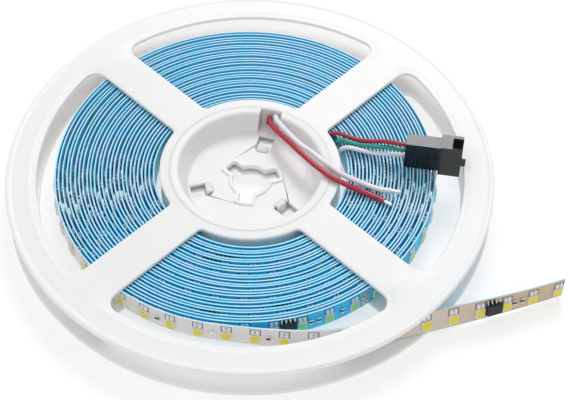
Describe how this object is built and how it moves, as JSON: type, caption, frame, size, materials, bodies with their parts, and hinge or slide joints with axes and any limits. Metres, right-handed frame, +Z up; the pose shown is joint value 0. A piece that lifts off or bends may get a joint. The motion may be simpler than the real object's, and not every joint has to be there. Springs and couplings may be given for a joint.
{
  "type": "led strip light reel",
  "caption": "Flat two-part plastic reel wound with a flexible LED light strip, its tail running out at the rim, with loose power wires and a small plug.",
  "frame": {"origin": "below the middle of the box round the reel and its strip, in the plane that the reel lies on", "axes": "+Z up along the reel's axis, +X towards the side at which the strip's tail runs out, +Y away from the front of the picture"},
  "size_m": [0.168, 0.15, 0.0239],
  "materials": {
    "reel_plastic": "milky white moulded plastic with a faint sheen",
    "strip_board": "white flexible board with a blue adhesive liner on its back",
    "led_package": "white package with a yellow phosphor window",
    "chip_body": "black moulded package with tinned legs",
    "resistor_body": "dark chip with tinned ends",
    "tinned_metal": "bright tin",
    "plug_plastic": "black moulded nylon",
    "contact_metal": "tinned brass",
    "wire_white": "smooth white insulation",
    "wire_red": "smooth red insulation",
    "wire_green": "smooth green insulation"
  },
  "bodies": {
    "root": {"upper_reel_half": "reel_plastic", "lower_reel_half": "reel_plastic", "led_strip": "strip_board", "tail_led_1": "led_package", "tail_led_2": "led_package", "tail_led_3": "led_package", "tail_led_4": "led_package", "tail_led_5": "led_package", "tail_led_6": "led_package", "front_led_1": "led_package", "front_led_2": "led_package", "front_led_3": "led_package", "front_led_4": "led_package", "front_led_5": "led_package", "front_led_6": "led_package", "driver_chip": "chip_body", "tail_resistor_1": "resistor_body", "tail_resistor_2": "resistor_body", "front_resistor_1": "resistor_body", "front_resistor_2": "resistor_body", "front_capacitor": "tinned_metal", "plug_housing": "plug_plastic", "plug_contact_1": "contact_metal", "plug_contact_2": "contact_metal", "plug_contact_3": "contact_metal", "lead_wire_white": "wire_white", "lead_wire_red": "wire_red", "lead_tip_white": "tinned_metal", "lead_tip_red": "tinned_metal", "plug_wire_red": "wire_red", "plug_wire_green": "wire_green", "plug_wire_white": "wire_white"}
  },
  "joints": []
}
